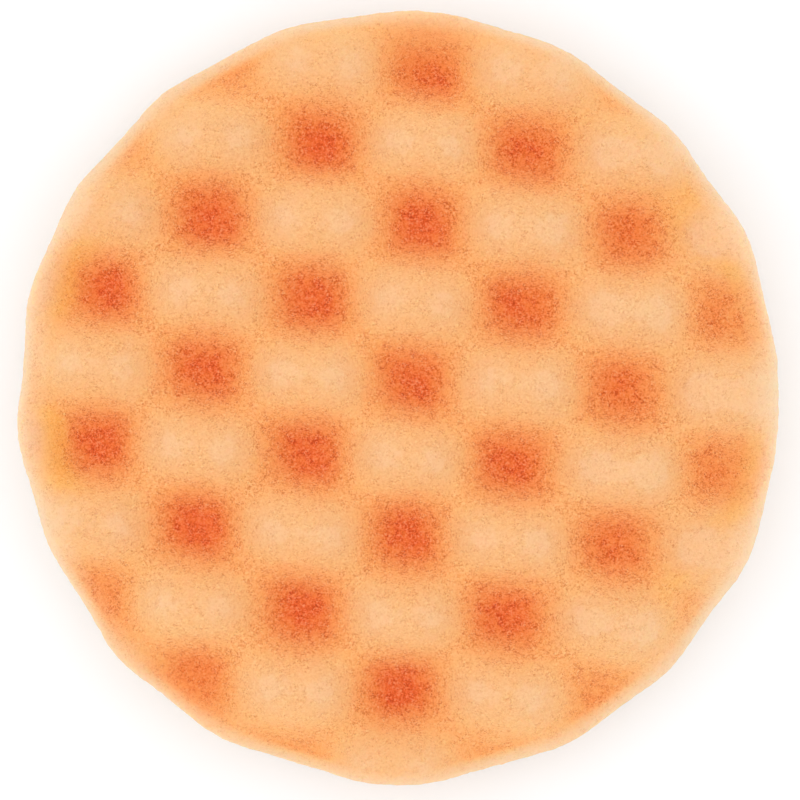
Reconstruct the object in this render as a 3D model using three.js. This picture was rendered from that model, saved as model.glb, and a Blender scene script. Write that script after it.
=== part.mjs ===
// A waffle-faced foam polishing pad with a loop back, in millimetres.
//
// +Z is the axis of the pad. It lies on its loop pile with the waffle up: the underside of the
// pile is the plane z = 0, and the origin is the centre of that underside.
// From the bottom up it holds a loop pile, the cloth the pile is knitted into, a bonding film and
// one thick disc of open-cell foam.

import * as THREE from "three";

// Driving dimensions

const padDiameter = 150;
const padThickness = 25; // underside of the pile to the crests of the waffle

const pitPitchAlongRow = 41; // pit to pit along a row
const pitPitchAcrossRows = 30.4; // pit to pit across the rows, with one more row half way between
const pitDepth = 11; // crest to pit floor
const flatness = 0.5; // 0 is a plain wave, 1 has the flattest crests and pit floors
const rowTurn = -2.5; // degrees the rows are turned from +X, seen from above
const nearestPit = { x: 3.1, y: 3.4 }; // the pit nearest the axis: the waffle is not cut on centre

const shoulderRadius = 3; // the rounded edge between the waffle and the cut side

const pileHeight = 1.4;
const clothThickness = 0.6;
const filmThickness = 0.3;
const clothSetback = 0.8; // the foam springs out this far past the cloth after the pad is cut
const filmSetback = 0.5; // the film stops this far inside the cloth
const layerGap = 0.3; // clearance between bonded layers

const rimFacet = 4; // longest facet around the rim
const ringSpacing = 3; // spacing of the rings that carry the waffle
const shoulderFacets = 4;

// Levels and radii that follow from them

const padRadius = padDiameter / 2;
const clothRadius = padRadius - clothSetback;
const filmRadius = clothRadius - filmSetback;
const clothBottom = pileHeight + layerGap;
const filmBottom = clothBottom + clothThickness + layerGap;
const foamBottom = filmBottom + filmThickness + layerGap;
const sectors = Math.round((Math.PI * padDiameter) / rimFacet);

// How far the foam's face lies below its crests at a place on the pad. Pits sit at the corners
// and the middle of each cell of the waffle, with crests between them.
function waffleDrop(x, y) {
  const turn = THREE.MathUtils.degToRad(rowTurn);
  const fromPitX = x - nearestPit.x;
  const fromPitY = y - nearestPit.y;
  const alongRow = fromPitX * Math.cos(turn) + fromPitY * Math.sin(turn);
  const acrossRows = fromPitY * Math.cos(turn) - fromPitX * Math.sin(turn);
  const wave =
    -Math.cos((2 * Math.PI * alongRow) / pitPitchAlongRow) *
    Math.cos((2 * Math.PI * acrossRows) / pitPitchAcrossRows);
  const flattened = (wave * (3 - wave * wave)) / 2;
  const shape = THREE.MathUtils.lerp(wave, flattened, flatness);
  return (pitDepth * (1 - shape)) / 2;
}

// A profile of radius and height, turned about the pad's axis.
function turned(profile) {
  return new THREE.LatheGeometry(profile, sectors).rotateX(Math.PI / 2);
}

function disc(radius, bottom, thickness) {
  return turned([
    new THREE.Vector2(0, bottom),
    new THREE.Vector2(radius, bottom),
    new THREE.Vector2(radius, bottom + thickness),
    new THREE.Vector2(0, bottom + thickness),
  ]);
}

// The rounded edge, from the top of the cut side to the outermost ring of the face.
function shoulderProfile() {
  const points = [];
  for (let step = 0; step < shoulderFacets; step += 1) {
    const angle = (step / shoulderFacets) * (Math.PI / 2);
    points.push(
      new THREE.Vector2(
        padRadius - shoulderRadius * (1 - Math.cos(angle)),
        padThickness - shoulderRadius * (1 - Math.sin(angle)),
      ),
    );
  }
  return points;
}

// The rings of the face, from the shoulder in to the axis.
function faceProfile() {
  const faceRadius = padRadius - shoulderRadius;
  const rings = Math.ceil(faceRadius / ringSpacing);
  const points = [];
  for (let ring = rings; ring >= 0; ring -= 1)
    points.push(new THREE.Vector2((faceRadius * ring) / rings, padThickness));
  return points;
}

// A plain disc with a rounded shoulder, whose face and shoulder then sink into the waffle.
function waffleFoam() {
  const geometry = turned([
    new THREE.Vector2(0, foamBottom),
    new THREE.Vector2(padRadius, foamBottom),
    ...shoulderProfile(),
    ...faceProfile(),
  ]);
  const position = geometry.getAttribute("position");
  const shoulderLevel = padThickness - shoulderRadius;
  const halfWay = (foamBottom + shoulderLevel) / 2;
  for (let i = 0; i < position.count; i += 1)
    if (position.getZ(i) > halfWay)
      position.setZ(
        i,
        position.getZ(i) - waffleDrop(position.getX(i), position.getY(i)),
      );
  geometry.computeVertexNormals();
  return geometry;
}

const materials = {
  foam: new THREE.MeshStandardMaterial({
    color: 0xf2a060,
    roughness: 0.95,
    metalness: 0,
  }),
  film: new THREE.MeshStandardMaterial({
    color: 0xe6ddc8,
    roughness: 0.4,
    metalness: 0,
  }),
  cloth: new THREE.MeshStandardMaterial({
    color: 0xdedad2,
    roughness: 0.85,
    metalness: 0,
  }),
  pile: new THREE.MeshStandardMaterial({
    color: 0xeeebe4,
    roughness: 0.9,
    metalness: 0,
  }),
};

function piece(name, geometry, material) {
  const mesh = new THREE.Mesh(geometry, material);
  mesh.name = name;
  return mesh;
}

const pad = new THREE.Group();
pad.name = "polishing_pad";
pad.add(
  piece("loop_pile", disc(clothRadius, 0, pileHeight), materials.pile),
  piece(
    "backing_cloth",
    disc(clothRadius, clothBottom, clothThickness),
    materials.cloth,
  ),
  piece(
    "bonding_film",
    disc(filmRadius, filmBottom, filmThickness),
    materials.film,
  ),
  piece("waffle_foam", waffleFoam(), materials.foam),
);

export default pad;
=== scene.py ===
"""A foam polishing pad with a waffle face and a loop back, lying face up on a pale floor.

The frame gives the place and size of each layer. The foam, its backing cloth and its loop pile are
modelled here in their real texture; the bonding film keeps its solid and gets a material.
"""

import math

import bmesh
import bpy
import numpy as np
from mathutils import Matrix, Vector, noise


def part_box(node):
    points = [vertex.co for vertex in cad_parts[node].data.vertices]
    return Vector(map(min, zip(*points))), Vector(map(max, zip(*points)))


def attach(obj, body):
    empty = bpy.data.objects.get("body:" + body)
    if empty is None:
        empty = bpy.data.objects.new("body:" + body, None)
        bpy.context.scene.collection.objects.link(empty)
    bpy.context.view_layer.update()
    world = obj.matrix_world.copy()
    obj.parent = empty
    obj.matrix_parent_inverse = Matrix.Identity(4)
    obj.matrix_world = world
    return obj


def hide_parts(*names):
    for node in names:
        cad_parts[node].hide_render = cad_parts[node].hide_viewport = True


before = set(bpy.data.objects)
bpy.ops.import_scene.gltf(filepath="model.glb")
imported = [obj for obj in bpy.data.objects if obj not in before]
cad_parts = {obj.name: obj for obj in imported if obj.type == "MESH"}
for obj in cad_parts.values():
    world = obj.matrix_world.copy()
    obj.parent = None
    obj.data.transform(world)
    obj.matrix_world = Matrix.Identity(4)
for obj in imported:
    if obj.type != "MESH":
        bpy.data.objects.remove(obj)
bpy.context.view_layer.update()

MM = 0.001

# The layers, as the frame holds them

_, foam_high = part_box("waffle_foam")
film_low, film_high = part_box("bonding_film")
cloth_low, cloth_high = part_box("backing_cloth")
pile_low, pile_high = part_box("loop_pile")

FOAM_RADIUS = foam_high[1]
CLOTH_RADIUS = cloth_high[1]
CREST_LEVEL = foam_high[2]
FOAM_BOTTOM = film_high[2]  # the foam sits on the film, with no clearance to be seen
CLOTH_TOP = film_low[2]
CLOTH_BOTTOM = (cloth_low[2] + pile_high[2]) / 2
FLOOR_LEVEL = pile_low[2]

# The waffle, as the foam was cut

PITCH_ALONG_ROW = 41 * MM
PITCH_ACROSS_ROWS = 30.4 * MM
PIT_DEPTH = 11 * MM
FLATNESS = 0.5
ROW_TURN = math.radians(-2.5)
NEAREST_PIT = (3.1 * MM, 3.4 * MM)
SHOULDER_RADIUS = 3 * MM
FACE_RADIUS = FOAM_RADIUS - SHOULDER_RADIUS

# How the soft foam gave way under the cutting rollers and the die

WANDER = 0.8 * MM  # how far the rows stray over a long way, and over a short one
WANDER_LENGTH = 30 * MM
WAVER = 0.4 * MM
WAVER_LENGTH = 9 * MM
OVAL_SHARE = 0.007
OVAL_TURN = math.radians(16)
CREST_SWELL = 0.1 * MM  # how far the rim stands out where the die squashed a crest
SWELL_POWER = 8  # keeps the swelling to the outermost part of the face
TUCK = 0.6 * MM  # how far the bond pulls the foam's bottom edge in
TUCK_HEIGHT = 3 * MM

# The foam's cut skin, and how fine it is modelled

LUMP_HEIGHT = 0.10 * MM
LUMP_WIDTH = 2.6 * MM
CELL_HEIGHT = 0.13 * MM
CELL_WIDTH = 1.1 * MM
FACE_CELLS = 256
SIDE_ROWS = 24

# Light and shade that the foam's colour carries. A wall's share adds to the wave that is 1 on a
# crest and -1 on a pit's floor.

SQUARENESS_ALONG = 0.20
SQUARENESS_ACROSS = 0.03
PAINTED_SHADE_SKEW = 0.06  # how much more sharply the painted shade ends on a pit's right wall, which faces the light, than on its left
END_WALL_LIGHT = 0.44
SIDE_WALL_SHADE = 0.18
SADDLE_TILT = 0.08
SADDLE_SHADE = 0.18
DEEP_RADIUS = 60 * MM  # pits further out than this are opened by the cut side
RIM_FADE = 0.24
RIM_FADE_POWER = 1.5
SIDE_START = FACE_RADIUS + 0.6 * SHOULDER_RADIUS  # the face's shades have faded out from here on
SHOULDER_FACING = 0.45  # what faces up more than this belongs to the face, not to the cut side

# The light that comes through the outer wall of a pit, at the left and right of the rim

WALL_REACH = 6 * MM
GLOW_RISE = (0.05, 0.30)  # the climb over that reach at which the glow starts and is full
GLOW_START_DEPTH = (0.12, 0.37)
GLOW_END_DEPTH = (2 / 3, 1)
GLOW_STRENGTH = 0.74
GLOW_LEAN = 0.22  # how much more glow the right side has, and how much less the left
GLOW_NARROWNESS = 6

# The painted highlight of the pale rim, where light from the sides falls on the shoulder, given
# where it runs along X and how much more it has where it runs along Y

PALE_WIDTH = (2.6 * MM, 4.2 * MM)
FULL_PALE_WIDTH = (0.2 * MM, 0.6 * MM)
PALENESS = (0.5, 0.5)
SIDE_PALENESS = 0.45  # the cut side's paleness, as a share of the rim's
PIT_PALENESS_LOSS = 0.5

# The backing: a ground cloth with standing loops

CLOTH_SEGMENTS = 360
CLOTH_ROUNDING = 0.25 * MM
FRAY = 0.12 * MM
FRAY_WIDTH = 1.5 * MM
LOOP_PITCH_X = 2.0 * MM
LOOP_PITCH_Y = 1.7 * MM
LOOP_WIDTH = 1.1 * MM
LOOP_SEGMENTS = 4
LOOP_ROOT = 0.3 * MM  # how deep the feet of a loop are sunk in the cloth
LOOP_LEAN = 1.3 * MM
LEAN_MIDDLE = (0.2, 0.5)  # the loops lean about evenly along Y and mostly one way along X
LOOP_SLIDE = 0.4 * MM
LOOP_SHORTENING = 0.25
LUCK_STRIDE = 7.31  # uneven strides, so that each loop draws random numbers of its own
LEAN_STRIDE = 3.17
BARE_EDGE = 0.6 * MM
YARN_RADIUS = 0.13 * MM
YARN_SIDES = 3
WALE_PITCH = 1.0 * MM
COURSE_PITCH = 0.8 * MM
STITCH_SLANT = 1.2

# The foam's colour from its crests down to the floors of its pits, darker and redder there with
# painted shade

FOAM_AND_PIT_SHADE_TONES = [
    (0.0, (0.900, 0.535, 0.275)),
    (0.08, (0.898, 0.500, 0.230)),
    (0.40, (0.950, 0.483, 0.188)),
    (0.54, (0.980, 0.439, 0.156)),
    (0.65, (0.985, 0.416, 0.134)),
    (0.80, (0.970, 0.347, 0.099)),
    (0.91, (0.940, 0.268, 0.064)),
    (1.0, (0.890, 0.168, 0.038)),
]
# the painted highlight along the rim
RIM_HIGHLIGHT_TONE = (0.920, 0.640, 0.400)
GLOW_TONE = (1.000, 0.500, 0.085)
STRUT_TONE = (1.000, 0.860, 0.470)
CREST_PORE_SHADE = (0.770, 0.540, 0.400)
PIT_PORE_SHADE = (0.700, 0.410, 0.220)

# How the foam's tone follows the painted shade of its pits, and how it varies

CREST_TONE = 0.08
PIT_SHADE_WEIGHT = 0.92  # added on a pit's floor
# painted light: the right side of the pad is painted paler, where more light falls
RIGHT_SIDE_LIGHT = 0.14
RIGHT_SIDE_LIGHT_START = 0.2 * FOAM_RADIUS
CLOUD_SIZE = 9 * MM
CLOUD_SHARE = 0.14
CLUMP_SIZE = 1.7 * MM
CLUMP_SHARE = 0.20

# The grain of the foam: struts that catch the light, hollows between them and open pores. Each
# range says where in its noise it starts and is full.

GRAIN_SIZE = 0.46 * MM
STRUT_RANGE = (0.50, 0.80)
HOLLOW_RANGE = (0.50, 0.22)
SHUT_CELL_RANGE = (0.06, 0.40)
PORE_CLUMP_RANGE = (0.36, 0.62)
PATCH_RANGE = (0.30, 0.66)
CREST_CONTRAST = 0.70
PIT_CONTRAST = 1.08  # added on a pit's floor
RIM_CALM = 0.5
RIM_CALM_START = 0.82 * FOAM_RADIUS
GRAIN_SHARE = 0.9
PORE_SHARE = 0.7

# The other finishes

YARN_TONES = ((0.80, 0.79, 0.75), (0.97, 0.96, 0.94))
KNIT_TONES = ((0.62, 0.60, 0.55), (0.92, 0.90, 0.86))
FILM_TONES = ((0.78, 0.66, 0.50), (0.90, 0.84, 0.72))
FLOOR_TONE = (0.95, 0.975, 1.0)

# The studio

FLOOR_HALF_WIDTH = 3
FLOOR_CLEARANCE = 0.02 * MM
WORLD_BRIGHTNESS = 1.13
CAMERA_HEIGHT = 0.60  # over the crests
CAMERA_ASIDE = (0.2 * MM, -0.55 * MM)
LENS = 139.5
SENSOR_WIDTH = 36
NEAREST_SEEN = 0.01

# ---------------------------------------------------------------- the waffle's form


def lattice(x, y):
    """Turns, in radians, along and across the rows of pits, from the pit nearest the axis."""
    from_pit_x = x - NEAREST_PIT[0]
    from_pit_y = y - NEAREST_PIT[1]
    along = from_pit_x * math.cos(ROW_TURN) + from_pit_y * math.sin(ROW_TURN)
    across = from_pit_y * math.cos(ROW_TURN) - from_pit_x * math.sin(ROW_TURN)
    return 2 * math.pi * along / PITCH_ALONG_ROW, 2 * math.pi * across / PITCH_ACROSS_ROWS


def waffle(x, y):
    """The shape of the face at places on the pad: 1 on a crest, -1 on a pit's floor."""
    along, across = lattice(x, y)
    wave = -np.cos(along) * np.cos(across)
    flattened = wave * (3 - wave * wave) / 2
    return wave + (flattened - wave) * FLATNESS


def face_drop(x, y):
    """How far the face lies below its crests."""
    return PIT_DEPTH * (1 - waffle(x, y)) / 2


def unevenness(place, scale, seed):
    """Smooth noise about zero, whose bumps are about scale wide."""
    return noise.noise(Vector(place) / scale + Vector((seed, seed * 1.7, seed * 2.3)))


def stray(place, long_seed, short_seed):
    """How far a cut strayed one way at a place on the pad."""
    long_way = WANDER * unevenness(place, WANDER_LENGTH, long_seed)
    short_way = WAVER * unevenness(place, WAVER_LENGTH, short_seed)
    return long_way + short_way


def wandered(x, y):
    """A place on the pad, moved as the soft foam gave way under the cutting rollers."""
    place = (x, y, 0)
    aside = stray(place, long_seed=3, short_seed=31)
    ahead = stray(place, long_seed=7, short_seed=37)
    return x + aside, y + ahead


def out_of_round(x, y):
    """The share by which the soft foam's rim stands in or out of a true circle."""
    return -OVAL_SHARE * math.cos(2 * (math.atan2(y, x) - OVAL_TURN))


# ---------------------------------------------------------------- the foam


def square_to_disc(u, v):
    """Moves a point of the square from -1 to 1 into the unit disc, keeping its cells alike."""
    return u * math.sqrt(1 - v * v / 2), v * math.sqrt(1 - u * u / 2)


def face_profile(reach):
    """Radius and drop at a share of the way from the axis, over the face and its shoulder."""
    length = reach * (FACE_RADIUS + SHOULDER_RADIUS * math.pi / 2)
    if length <= FACE_RADIUS:
        return length, 0.0
    angle = (length - FACE_RADIUS) / SHOULDER_RADIUS
    return FACE_RADIUS + SHOULDER_RADIUS * math.sin(angle), SHOULDER_RADIUS * (1 - math.cos(angle))


def place_on_face(vert):
    """Takes a point of the square grid to its place on the waffle face or its shoulder."""
    u, v = square_to_disc(vert.co.x, vert.co.y)
    reach = math.hypot(u, v)
    radius, shoulder_drop = face_profile(reach)
    if reach > 0:
        u, v = u / reach, v / reach
    x, y = u * radius, v * radius
    give = CREST_SWELL / FOAM_RADIUS * waffle(x, y) + out_of_round(x, y)
    swell = 1 + give * (radius / FOAM_RADIUS) ** SWELL_POWER
    height = CREST_LEVEL - shoulder_drop - face_drop(*wandered(x, y))
    vert.co = (x * swell, y * swell, height)


def add_side(bm):
    """Draws the rim down to the film in rows and closes the bottom."""
    rim = [edge for edge in bm.edges if edge.is_boundary]
    drawn = bmesh.ops.extrude_edge_only(bm, edges=rim)["geom"]
    foot = [part for part in drawn if isinstance(part, bmesh.types.BMVert)]
    for vert in foot:
        radius = FOAM_RADIUS * (1 + out_of_round(vert.co.x, vert.co.y))
        outwards = Vector((vert.co.x, vert.co.y, 0)).normalized()
        vert.co = outwards * radius
        vert.co.z = FOAM_BOTTOM
    footing = set(foot)
    uprights = [
        edge
        for edge in bm.edges
        if (edge.verts[0] in footing) != (edge.verts[1] in footing)
    ]
    bmesh.ops.subdivide_edges(bm, edges=uprights, cuts=SIDE_ROWS - 1, use_grid_fill=True)
    for vert in bm.verts:
        tuck_in(vert)
    bmesh.ops.holes_fill(bm, edges=[edge for edge in bm.edges if edge.is_boundary])


def tuck_in(vert):
    """Pulls a point near the foam's bottom edge in towards the axis."""
    pulled = max(0, 1 - (vert.co.z - FOAM_BOTTOM) / TUCK_HEIGHT)
    tuck = 1 - TUCK / FOAM_RADIUS * pulled**2
    vert.co = (vert.co.x * tuck, vert.co.y * tuck, vert.co.z)


def roughen(bm):
    """Cells stand out and sink in all over the cut foam."""
    bm.normal_update()
    for vert in bm.verts:
        if vert.co.z <= FOAM_BOTTOM:
            continue
        lump = unevenness(vert.co, LUMP_WIDTH, seed=11) * LUMP_HEIGHT
        cell = unevenness(vert.co, CELL_WIDTH, seed=17) * CELL_HEIGHT
        vert.co += vert.normal * (lump + cell)


def squared_cosine(turn, squareness):
    """A cosine with flatter tops and steeper flanks."""
    return (1 + squareness) * np.cos(turn) - squareness * np.cos(3 * turn)


def way_between(values, low, high):
    """How far values are on the way from low to high, from 0 to 1 and held there."""
    return np.clip((values - low) / (high - low), 0, 1)


def painted_pit_shade(x, y):
    """The painted shade of places in the waffle, from about 0 on a crest to 1 on a pit's floor.

    Walls that face the light get less of it. A pit that the cut side opens is let in light, so it
    counts as shallower.
    """
    places = np.array([wandered(*place) for place in zip(x, y)])
    along, across = lattice(places[:, 0], places[:, 1])
    # skews the painted shade so that it ends sharply on the right wall, lit from the left
    along += PAINTED_SHADE_SKEW * np.sin(along) ** 2
    wave = -squared_cosine(along, SQUARENESS_ALONG) * squared_cosine(across, SQUARENESS_ACROSS)
    wave += END_WALL_LIGHT * np.sin(along) ** 2 - SIDE_WALL_SHADE * np.sin(across) ** 2
    saddle = np.sin(along) * np.sin(across)
    wave += SADDLE_TILT * saddle - SADDLE_SHADE * saddle**2
    open_to_side = way_between(np.hypot(x, y), DEEP_RADIUS, FACE_RADIUS)
    return (1 - wave) / 2 * (1 - RIM_FADE * open_to_side**RIM_FADE_POWER)


def glow_at_rim(x, y, depth):
    """The light that comes through the outer wall of a pit near the rim, at places on the pad."""
    radius = np.maximum(np.hypot(x, y), WALL_REACH)
    inwards = 1 - WALL_REACH / radius
    rise = painted_pit_shade(x * inwards, y * inwards) - depth
    on_outer_wall = way_between(rise, *GLOW_RISE)
    half_way_up = way_between(depth, *GLOW_START_DEPTH) * (1 - way_between(depth, *GLOW_END_DEPTH))
    near_rim = way_between(radius, DEEP_RADIUS, DEEP_RADIUS + WALL_REACH)
    half_shoulder = SHOULDER_RADIUS / 2
    over_edge = way_between(radius, FACE_RADIUS - half_shoulder, FACE_RADIUS + half_shoulder)
    towards_right = x / radius
    strength = (GLOW_STRENGTH + GLOW_LEAN * towards_right) * towards_right**GLOW_NARROWNESS
    return strength * on_outer_wall * half_way_up * near_rim * (1 - over_edge)


def highlight_at_rim(x, y, depth, facing_up):
    """How much of the pale rim's painted highlight places have: most at the outer edge of the
    face.
    """
    radius = np.maximum(np.hypot(x, y), WALL_REACH)
    sideways = (x / radius) ** 2
    width, full_width, strength = (
        least + more * sideways for least, more in (PALE_WIDTH, FULL_PALE_WIDTH, PALENESS)
    )
    band = way_between(radius, FOAM_RADIUS - width, FOAM_RADIUS - full_width)
    over_edge = SIDE_PALENESS + (1 - SIDE_PALENESS) * facing_up
    return band * strength * over_edge * (1 - PIT_PALENESS_LOSS * depth)


def shade_foam(foam):
    """Stores what the foam's colour and its painted shade, glow and rim highlight follow. The cut
    side counts as a crest without a glow.
    """
    x, y, _ = point_vectors(foam, "co")
    depth = painted_pit_shade(x, y)
    glow = glow_at_rim(x, y, depth)
    on_face = 1 - way_between(np.hypot(x, y), FACE_RADIUS, SIDE_START)
    facing_up = way_between(point_vectors(foam, "normal")[2], 0, SHOULDER_FACING)
    # painted shade of the pits, painted glow through their outer walls and painted highlight on
    # the rim
    shades = {
        "depth": depth * on_face,
        "rim_glow": glow * on_face,
        "pale_rim": highlight_at_rim(x, y, depth * on_face, facing_up),
        "facing_up": facing_up,
    }
    for name, values in shades.items():
        attribute = foam.data.attributes.new(name, "FLOAT", "POINT")
        attribute.data.foreach_set("value", values)


def point_vectors(piece, name):
    """The x, y and z of every point's place ("co") or direction ("normal")."""
    numbers = np.empty(len(piece.data.vertices) * 3)
    piece.data.vertices.foreach_get(name, numbers)
    return numbers.reshape(-1, 3).T


def make_foam():
    """One closed solid of foam: a fine grid laid over the face, with a side and a bottom."""
    bm = bmesh.new()
    bmesh.ops.create_grid(bm, x_segments=FACE_CELLS, y_segments=FACE_CELLS, size=1)
    for vert in bm.verts:
        place_on_face(vert)
    add_side(bm)
    bmesh.ops.recalc_face_normals(bm, faces=bm.faces)
    roughen(bm)
    foam = finished("foam", bm)
    shade_foam(foam)
    return foam


# ---------------------------------------------------------------- the backing


def make_ground_cloth():
    """The flat knit that carries the loops: a thin disc with a soft, slightly uneven cut edge."""
    bm = bmesh.new()
    bmesh.ops.create_circle(bm, cap_ends=True, segments=CLOTH_SEGMENTS, radius=CLOTH_RADIUS)
    bmesh.ops.translate(bm, verts=bm.verts, vec=(0, 0, CLOTH_BOTTOM))
    bmesh.ops.solidify(bm, geom=bm.faces[:], thickness=-(CLOTH_TOP - CLOTH_BOTTOM))
    level_edges = [edge for edge in bm.edges if edge.verts[0].co.z == edge.verts[1].co.z]
    bmesh.ops.bevel(
        bm,
        geom=level_edges,
        affect="EDGES",
        offset=CLOTH_ROUNDING,
        segments=2,
        profile=0.5,
        material=-1,
    )
    for vert in bm.verts:
        fray = 1 + FRAY / CLOTH_RADIUS * unevenness(vert.co, FRAY_WIDTH, seed=23)
        vert.co.x *= fray
        vert.co.y *= fray
    bmesh.ops.recalc_face_normals(bm, faces=bm.faces)
    return finished("ground_cloth", bm)


def add_loop(bm):
    """One standing loop of yarn at the origin, its bow on the floor and its feet in the cloth."""
    bow_level = LOOP_WIDTH / 2 + YARN_RADIUS
    bmesh.ops.create_circle(bm, cap_ends=False, segments=YARN_SIDES, radius=YARN_RADIUS)
    bmesh.ops.translate(bm, verts=bm.verts, vec=(LOOP_WIDTH / 2, 0, 0))
    bmesh.ops.spin(
        bm,
        geom=bm.edges[:],
        cent=(0, 0, 0),
        axis=(0, 1, 0),
        angle=math.pi,
        steps=LOOP_SEGMENTS,
        use_merge=False,
    )
    bmesh.ops.translate(bm, verts=bm.verts, vec=(0, 0, bow_level))
    ends = [edge for edge in bm.edges if edge.is_boundary]
    legs = bmesh.ops.extrude_edge_only(bm, edges=ends)["geom"]
    feet = [part for part in legs if isinstance(part, bmesh.types.BMVert)]
    for foot in feet:
        foot.co.z = CLOTH_BOTTOM + LOOP_ROOT
    bmesh.ops.holes_fill(bm, edges=[edge for edge in bm.edges if edge.is_boundary])
    bmesh.ops.recalc_face_normals(bm, faces=bm.faces)


def repeat(bm, step, doublings):
    """Doubles the whole mesh along step, again and again."""
    for doubling in range(doublings):
        copy = bmesh.ops.duplicate(bm, geom=bm.verts[:] + bm.edges[:] + bm.faces[:])["geom"]
        moved = [part for part in copy if isinstance(part, bmesh.types.BMVert)]
        bmesh.ops.translate(bm, verts=moved, vec=Vector(step) * 2**doubling)


def home_of(vert):
    """The foot of the loop that a point belongs to."""
    column = round(vert.co.x / LOOP_PITCH_X)
    row = round(vert.co.y / LOOP_PITCH_Y)
    return Vector((column * LOOP_PITCH_X, row * LOOP_PITCH_Y, 0))


def tousle(vert):
    """Turns, leans, slides and shortens a loop by amounts that are its own."""
    home = home_of(vert)
    luck = noise.cell_vector(home / MM * LUCK_STRIDE)
    lean = noise.cell_vector(home / MM * LEAN_STRIDE)
    hang = (CLOTH_BOTTOM - vert.co.z) / CLOTH_BOTTOM
    turn = math.tau * luck.x
    offset = vert.co - home
    x = offset.x * math.cos(turn) - offset.y * math.sin(turn)
    y = offset.x * math.sin(turn) + offset.y * math.cos(turn)
    reach = max(hang, 0) * LOOP_LEAN
    vert.co.x = home.x + x + (lean.x - LEAN_MIDDLE[0]) * reach + (luck.z - 0.5) * LOOP_SLIDE
    vert.co.y = home.y + y + (lean.y - LEAN_MIDDLE[1]) * reach
    vert.co.z = CLOTH_BOTTOM - (CLOTH_BOTTOM - vert.co.z) * (1 - LOOP_SHORTENING * luck.y)


def make_loop_pile():
    """Loops in rows across the cloth, each with a lean, a turn and a height of its own."""
    bm = bmesh.new()
    add_loop(bm)
    doublings = math.ceil(math.log2(2 * CLOTH_RADIUS / min(LOOP_PITCH_X, LOOP_PITCH_Y)))
    repeat(bm, (LOOP_PITCH_X, 0, 0), doublings)
    repeat(bm, (0, LOOP_PITCH_Y, 0), doublings)
    middle = -Vector((LOOP_PITCH_X, LOOP_PITCH_Y, 0)) * 2**doublings / 2
    bmesh.ops.translate(bm, verts=bm.verts, vec=middle)
    outside = [vert for vert in bm.verts if home_of(vert).length > CLOTH_RADIUS - BARE_EDGE]
    bmesh.ops.delete(bm, geom=outside, context="VERTS")
    for vert in bm.verts:
        tousle(vert)
    return finished("loops", bm)


# ---------------------------------------------------------------- shared making


def finished(name, bm):
    """Turns a bmesh into a smooth-shaded object of the scene."""
    mesh = bpy.data.meshes.new(name)
    bm.to_mesh(mesh)
    bm.free()
    mesh.shade_smooth()
    piece = bpy.data.objects.new(name, mesh)
    bpy.context.scene.collection.objects.link(piece)
    return piece


# ---------------------------------------------------------------- materials


class Value:
    """An output socket that takes Python arithmetic by adding the Math nodes for it."""

    def __init__(self, material, socket):
        self.material = material
        self.socket = socket

    def math(self, operation, *values):
        sockets = dict(enumerate(values))
        return self.material.node("ShaderNodeMath", {"operation": operation}, sockets)

    def sine(self):
        return self.math("SINE", self)

    def __add__(self, other):
        return self.math("ADD", self, other)

    def __sub__(self, other):
        return self.math("SUBTRACT", self, other)

    def __rsub__(self, other):
        return self.math("SUBTRACT", other, self)

    def __mul__(self, other):
        return self.math("MULTIPLY", self, other)

    __radd__ = __add__
    __rmul__ = __mul__


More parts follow.
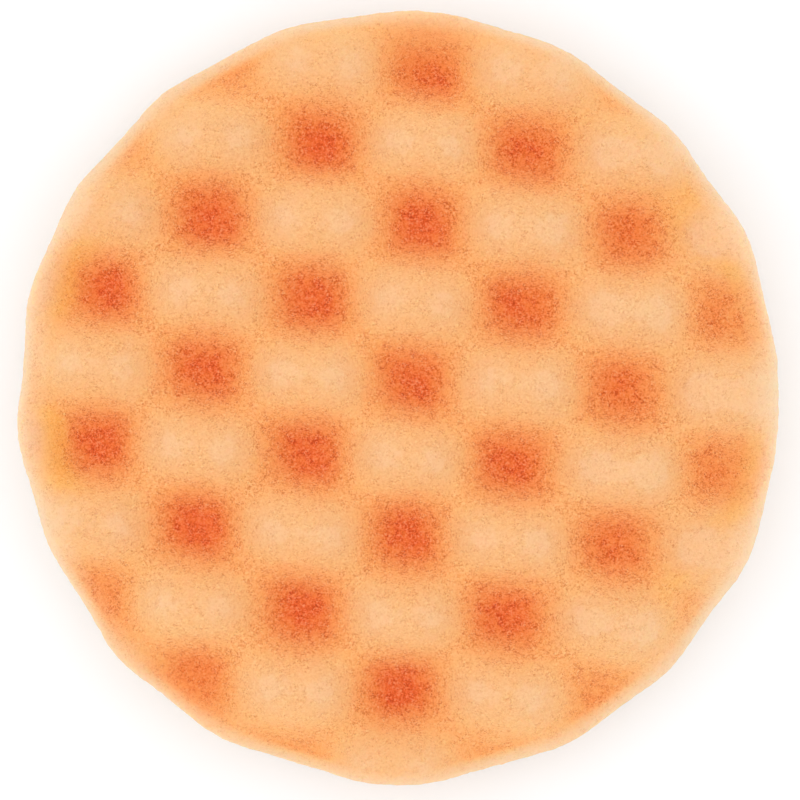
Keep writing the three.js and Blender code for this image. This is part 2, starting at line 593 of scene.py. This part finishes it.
class Finish:
    """A node material. node() adds any node and gives the value of one of its outputs."""

    def __init__(self, name):
        self.data = bpy.data.materials.new(name)
        self.data.use_nodes = True
        self.tree = self.data.node_tree
        self.tree.nodes.clear()

    def node(self, kind, settings=None, sockets=None, output=0):
        node = self.tree.nodes.new(kind)
        for setting, value in (settings or {}).items():
            if setting == "stops":
                self.set_stops(node.color_ramp, value)
            else:
                setattr(node, setting, value)
        for socket, value in (sockets or {}).items():
            if isinstance(value, Value):
                self.tree.links.new(value.socket, node.inputs[socket])
            else:
                node.inputs[socket].default_value = value
        return Value(self, node.outputs[output])

    def set_stops(self, ramp, stops):
        while len(ramp.elements) < len(stops):
            ramp.elements.new(1)
        for element, (position, colour) in zip(ramp.elements, stops):
            element.position = position
            element.color = (*colour, 1)

    def surface(self, sockets):
        """Closes the material with a Principled shader that has these sockets set or linked."""
        shader = self.node("ShaderNodeBsdfPrincipled", None, sockets)
        output = self.tree.nodes.new("ShaderNodeOutputMaterial")
        self.tree.links.new(shader.socket, output.inputs["Surface"])

    def place(self):
        return self.node("ShaderNodeTexCoord", output="Object")

    def coordinate(self, place, axis):
        return self.node("ShaderNodeSeparateXYZ", None, {0: place}, output=axis)

    def radius(self, place):
        """Distance from the pad's axis."""
        kind = "ShaderNodeVectorMath"
        level = self.node(kind, {"operation": "MULTIPLY"}, {0: place, 1: (1, 1, 0)})
        return self.node(kind, {"operation": "LENGTH"}, {0: level}, output="Value")

    def attribute(self, name):
        return self.node("ShaderNodeAttribute", {"attribute_name": name}, output="Fac")

    def between(self, value, low, high):
        """Value carried from the range low to high onto 0 to 1, and held there."""
        sockets = {"Value": value, "From Min": low, "From Max": high}
        return self.node("ShaderNodeMapRange", {"clamp": True}, sockets)

    def cloud(self, place, size, detail=2.0, roughness=0.5, distortion=0.0):
        """Noise from 0 to 1 whose patches are about size across."""
        sockets = {
            "Vector": place,
            "Scale": 1 / size,
            "Detail": detail,
            "Roughness": roughness,
            "Distortion": distortion,
        }
        return self.node("ShaderNodeTexNoise", None, sockets, output="Fac")

    def cells(self, place, size):
        """Distance from the middle of the nearest of many scattered cells, about size across."""
        sockets = {"Vector": place, "Scale": 1 / size, "Randomness": 1.0}
        return self.node("ShaderNodeTexVoronoi", {"feature": "F1"}, sockets, output="Distance")

    def tone(self, stops, shade):
        return self.node("ShaderNodeValToRGB", {"stops": stops}, {0: shade}, output="Color")

    def mix(self, share, first, second, blend="MIX"):
        """Mixes two colours, each a plain red, green and blue or the colour of a node."""
        settings = {"data_type": "RGBA", "blend_type": blend}
        sockets = {0: share, 6: self.opaque(first), 7: self.opaque(second)}
        return self.node("ShaderNodeMix", settings, sockets, output=2)

    def opaque(self, colour):
        return colour if isinstance(colour, Value) else (*colour, 1)

    def bump(self, height, strength, distance):
        sockets = {"Strength": strength, "Distance": distance, "Height": height}
        return self.node("ShaderNodeBump", None, sockets)


def foam_ground_tone(finish, place, depth, clumps):
    """The foam's colour before its grain: painted shade makes it richer down in the pits, and a
    painted highlight makes it pale along the rim.
    """
    clouds = finish.cloud(place, CLOUD_SIZE)
    to_the_right = finish.coordinate(place, "X")
    # painted light: paler towards the right of the pad
    lit_right_share = finish.between(to_the_right, RIGHT_SIDE_LIGHT_START, FOAM_RADIUS)
    # painted shade: the tone deepens with the pits' stored shade
    shade = depth * PIT_SHADE_WEIGHT + CREST_TONE - lit_right_share * RIGHT_SIDE_LIGHT
    shade = shade + (clouds - 0.5) * CLOUD_SHARE + (clumps - 0.5) * CLUMP_SHARE
    # painted light: the glow through the pits' outer walls, then the highlight along the rim
    tone = finish.mix(finish.attribute("rim_glow"), finish.tone(FOAM_AND_PIT_SHADE_TONES, shade), GLOW_TONE)
    return finish.mix(finish.attribute("pale_rim"), tone, RIM_HIGHLIGHT_TONE)


def foam_finish():
    """Open-cell foam whose colour carries painted shade, richer in tone down in the pits, and
    whose grain is coarser there.
    """
    finish = Finish("orange open-cell foam")
    place = finish.place()
    # the pits' painted shade, as stored with the mesh
    depth = finish.attribute("depth")
    clumps = finish.cloud(place, CLUMP_SIZE)
    tone = foam_ground_tone(finish, place, depth, clumps)
    grain = finish.cloud(place, GRAIN_SIZE, detail=3.0, roughness=0.75, distortion=0.5)
    open_cells = 1 - finish.between(finish.cells(place, GRAIN_SIZE), *SHUT_CELL_RANGE)
    pores = open_cells * finish.between(clumps, *PORE_CLUMP_RANGE)
    patches = 0.5 + finish.between(clumps, *PATCH_RANGE)
    near_rim = finish.between(finish.radius(place), RIM_CALM_START, FOAM_RADIUS)
    calm = 1 - RIM_CALM * near_rim * finish.attribute("facing_up")
    contrast = (CREST_CONTRAST + depth * PIT_CONTRAST) * patches * calm
    pore_shade = finish.mix(depth, CREST_PORE_SHADE, PIT_PORE_SHADE)
    pore_tone = finish.mix(1.0, tone, pore_shade, blend="MULTIPLY")
    strut_tone = finish.mix(0.50 - depth * 0.20, tone, STRUT_TONE)
    struts = finish.between(grain, *STRUT_RANGE)
    hollows = finish.between(grain, *HOLLOW_RANGE)
    colour = finish.mix(struts * contrast * GRAIN_SHARE, tone, strut_tone)
    colour = finish.mix(hollows * contrast * GRAIN_SHARE, colour, pore_tone)
    colour = finish.mix(pores * contrast * PORE_SHARE, colour, pore_tone)
    relief = grain * 0.7 - pores * 0.5
    finish.surface(
        {
            "Base Color": colour,
            "Roughness": 0.95,
            "Specular IOR Level": 0.15,
            "Subsurface Weight": 0.6,
            "Subsurface Radius": (1.0, 0.42, 0.16),
            "Subsurface Scale": 3.0 * MM,
            "Sheen Weight": 0.1,
            "Sheen Roughness": 0.6,
            "Normal": finish.bump(relief, strength=0.8, distance=0.4 * MM),
        }
    )
    return finish.data


def loop_finish():
    """Brushed nylon yarn, in slightly uneven strands."""
    finish = Finish("brushed loop yarn")
    place = finish.place()
    patches = finish.cloud(place, size=6 * MM)
    strands = finish.cloud(place, size=0.25 * MM, detail=3.0)
    finish.surface(
        {
            "Base Color": finish.mix(patches * 0.5 + strands * 0.5, *YARN_TONES),
            "Roughness": 0.7,
            "Sheen Weight": 0.4,
            "Sheen Roughness": 0.4,
            "Subsurface Weight": 0.2,
            "Subsurface Radius": (1, 1, 1),
            "Subsurface Scale": 0.4 * MM,
            "Normal": finish.bump(strands, strength=0.5, distance=0.1 * MM),
        }
    )
    return finish.data


def knit_finish():
    """A close warp knit: slanted stitches in columns, with a finer yarn grain."""
    finish = Finish("close warp knit")
    place = finish.place()
    across = finish.coordinate(place, "X")
    along = finish.coordinate(place, "Y")
    column = (across * (math.tau / WALE_PITCH)).sine()
    slant = (along * (math.tau / COURSE_PITCH) + column * STITCH_SLANT).sine()
    yarn = finish.cloud(place, size=0.2 * MM, detail=3.0)
    stitch = column * 0.25 + slant * 0.25 + 0.5
    finish.surface(
        {
            "Base Color": finish.mix(stitch * 0.6 + yarn * 0.4, *KNIT_TONES),
            "Roughness": 0.85,
            "Sheen Weight": 0.2,
            "Normal": finish.bump(stitch + yarn * 0.4, strength=0.6, distance=0.2 * MM),
        }
    )
    return finish.data


def film_finish():
    """Hot-melt film, milky and a little glossy, uneven where it soaked into the foam."""
    finish = Finish("hot-melt film")
    soak = finish.cloud(finish.place(), size=3 * MM, detail=3.0)
    finish.surface(
        {
            "Base Color": finish.mix(soak, *FILM_TONES),
            "Roughness": 0.35 + soak * 0.2,
            "Normal": finish.bump(soak, strength=0.4, distance=0.2 * MM),
        }
    )
    return finish.data


def floor_finish():
    finish = Finish("pale floor")
    finish.surface({"Base Color": (*FLOOR_TONE, 1), "Roughness": 0.9})
    return finish.data


# ---------------------------------------------------------------- the pieces

foam = make_foam()
foam.data.materials.append(foam_finish())
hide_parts("waffle_foam")
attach(foam, "root")

cloth = make_ground_cloth()
cloth.data.materials.append(knit_finish())
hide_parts("backing_cloth")
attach(cloth, "root")

loops = make_loop_pile()
loops.data.materials.append(loop_finish())
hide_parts("loop_pile")
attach(loops, "root")

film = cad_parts["bonding_film"]
film.data.materials.clear()
film.data.materials.append(film_finish())


# ---------------------------------------------------------------- floor, light and camera


def make_floor():
    bm = bmesh.new()
    bmesh.ops.create_grid(bm, x_segments=1, y_segments=1, size=FLOOR_HALF_WIDTH)
    bmesh.ops.translate(bm, verts=bm.verts, vec=(0, 0, FLOOR_LEVEL - FLOOR_CLEARANCE))
    floor = finished("floor", bm)
    floor.data.materials.append(floor_finish())


def add_softbox(name, place, size, power):
    """A square softbox that faces the pad."""
    light = bpy.data.lights.new(name, "AREA")
    light.shape = "SQUARE"
    light.size = size
    light.energy = power
    lamp = bpy.data.objects.new(name, light)
    lamp.location = place
    lamp.rotation_euler = (-Vector(place)).to_track_quat("-Z", "Y").to_euler()
    bpy.context.scene.collection.objects.link(lamp)


def make_light():
    """Even light from all round, and a weak softbox on the left."""
    world = bpy.data.worlds.new("studio")
    world.use_nodes = True
    background = world.node_tree.nodes["Background"]
    background.inputs["Color"].default_value = (1, 1, 1, 1)
    background.inputs["Strength"].default_value = WORLD_BRIGHTNESS
    bpy.context.scene.world = world
    add_softbox("key", place=(-1.1, 0.15, 1.0), size=0.7, power=0.8)
    bpy.context.scene.view_settings.view_transform = "Standard"


def make_camera():
    """Looks straight down on the face from above its middle."""
    camera_data = bpy.data.cameras.new("camera")
    camera_data.lens = LENS
    camera_data.sensor_width = SENSOR_WIDTH
    camera_data.clip_start = NEAREST_SEEN
    camera = bpy.data.objects.new("camera", camera_data)
    camera.location = (*CAMERA_ASIDE, CREST_LEVEL + CAMERA_HEIGHT)
    bpy.context.scene.collection.objects.link(camera)
    bpy.context.scene.camera = camera


make_floor()
make_light()
make_camera()
